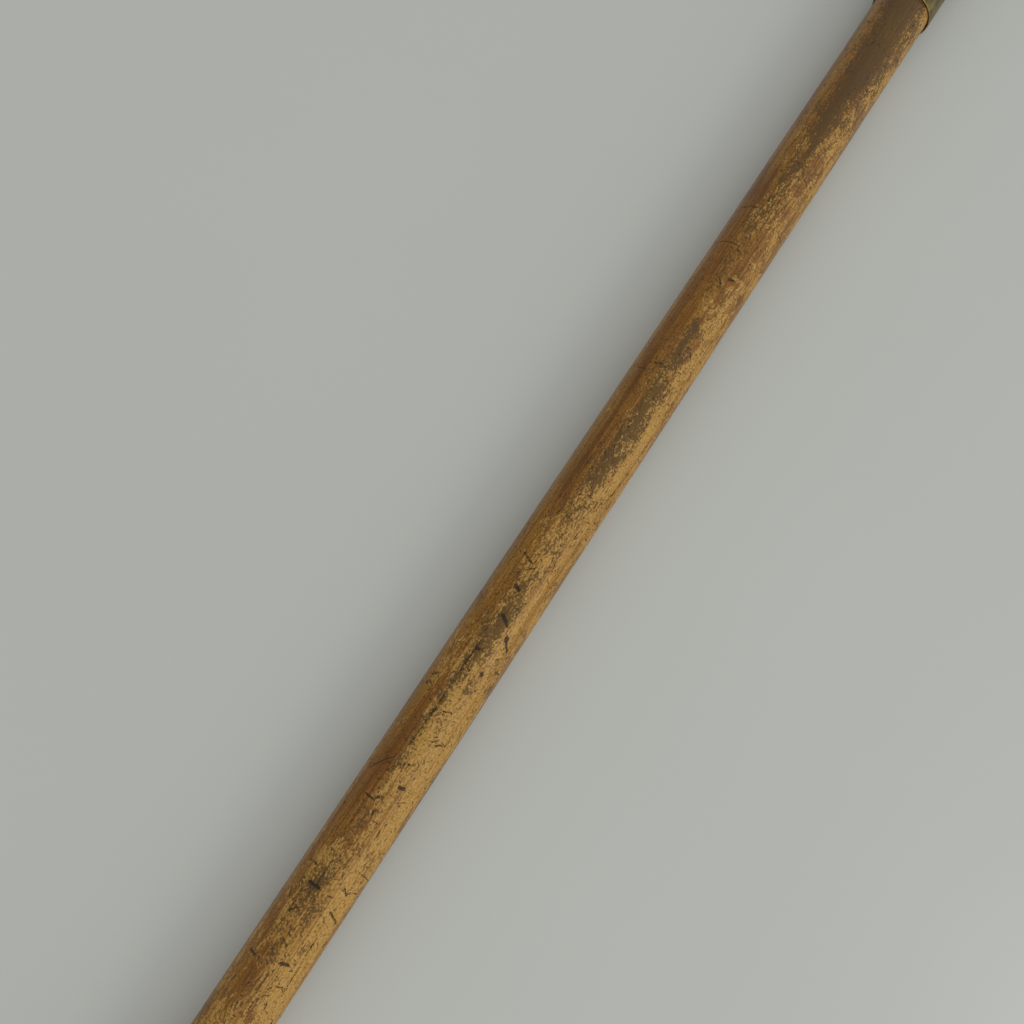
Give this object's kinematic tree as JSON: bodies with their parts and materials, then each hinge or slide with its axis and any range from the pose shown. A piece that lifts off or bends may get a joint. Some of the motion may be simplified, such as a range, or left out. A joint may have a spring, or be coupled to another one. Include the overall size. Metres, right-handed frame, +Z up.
{
  "type": "telescoping pole saw",
  "caption": "Pole saw with a round wooden upper pole that slides and turns in a steel handle tube, held by a thumbscrew clamp, with a curved blade that tilts on a quadrant head.",
  "frame": {"origin": "centre of the butt cap's flat end face, on the pole's axis", "axes": "+X along the pole towards the saw head, +Z up as the saw lies on a level surface, blade towards -Y; the pole's axis is 19 mm above that surface"},
  "size_m": [2.057, 0.2029, 0.0631],
  "materials": {
    "varnished_wood": "amber varnish, worn through in patches, nicked and scratched",
    "aged_brass": "dull olive-brown tarnish with fine lengthwise scratches",
    "green_paint": "dark green enamel, chipped and rubbed",
    "black_rubber": "matt, dusty in the grooves",
    "forged_iron": "blackened forging, rubbed bright on its edges",
    "zinc_steel": "dull zinc plate with light rust",
    "blade_steel": "ground spring steel with sap stains"
  },
  "bodies": {
    "lower_pole": {"handle_tube": "green_paint", "hand_grip": "black_rubber", "fore_grip": "black_rubber", "butt_cap": "black_rubber", "mouth_ferrule": "aged_brass", "ferrule_rivet_left": "aged_brass", "ferrule_rivet_right": "aged_brass", "clamp_collar": "aged_brass"},
    "bush_slide": {"guide_bush": "aged_brass"},
    "upper_pole": {"wooden_pole": "varnished_wood", "stop_collar": "aged_brass", "stop_collar_pin": "zinc_steel", "tail_washer": "aged_brass", "tail_screw": "zinc_steel", "saw_head": "forged_iron", "head_rivet_rear": "zinc_steel", "head_rivet_front": "zinc_steel", "pivot_bolt": "zinc_steel"},
    "clamp_shoe": {"clamp_shoe": "aged_brass"},
    "thumbscrew": {"thumbscrew": "aged_brass"},
    "blade": {"saw_blade": "blade_steel", "lock_bolt": "zinc_steel"},
    "pivot_washer": {"pivot_washer": "zinc_steel"},
    "pivot_nut": {"pivot_wing_nut": "zinc_steel"},
    "lock_washer": {"lock_washer": "zinc_steel"},
    "lock_nut": {"lock_wing_nut": "zinc_steel"}
  },
  "joints": [
    {"name": "pole_slide", "type": "slide", "parent": "lower_pole", "child": "bush_slide", "axis": [1, 0, 0], "range_m": [-0.65, 0.133]},
    {"name": "pole_turn", "type": "hinge", "parent": "bush_slide", "child": "upper_pole", "pos_m": [0.7431, 0, 0], "axis": [1, 0, 0], "continuous": true},
    {"name": "clamp_shoe_slide", "type": "slide", "parent": "lower_pole", "child": "clamp_shoe", "axis": [0, 0, 1], "range_m": [0, 0.0014]},
    {"name": "thumbscrew_turn", "type": "hinge", "parent": "clamp_shoe", "child": "thumbscrew", "pos_m": [0.9471, 0, 0.03], "axis": [0, 0, 1], "range_deg": [0, 506]},
    {"name": "blade_tilt", "type": "hinge", "parent": "upper_pole", "child": "blade", "pos_m": [1.7666, 0, 0], "axis": [0, -0.0817, 0.9967], "range_deg": [-35, 25]},
    {"name": "pivot_washer_slide", "type": "slide", "parent": "upper_pole", "child": "pivot_washer", "axis": [0, -0.0817, 0.9967], "range_m": [0, 0.002]},
    {"name": "pivot_nut_turn", "type": "hinge", "parent": "pivot_washer", "child": "pivot_nut", "pos_m": [1.7666, 0, 0], "axis": [0, -0.0817, 0.9967], "range_deg": [0, 722]},
    {"name": "lock_washer_slide", "type": "slide", "parent": "blade", "child": "lock_washer", "axis": [0, -0.0817, 0.9967], "range_m": [0, 0.002]},
    {"name": "lock_nut_turn", "type": "hinge", "parent": "lock_washer", "child": "lock_nut", "pos_m": [1.7981, -0.00564, -0.00046], "axis": [0, -0.0817, 0.9967], "range_deg": [0, 722]}
  ],
  "couplings": [
    {"joint": "thumbscrew_turn", "follows": "clamp_shoe_slide", "rad_per_m": 6283.2},
    {"joint": "pivot_nut_turn", "follows": "pivot_washer_slide", "rad_per_m": 6283.2},
    {"joint": "lock_nut_turn", "follows": "lock_washer_slide", "rad_per_m": 6283.2}
  ]
}
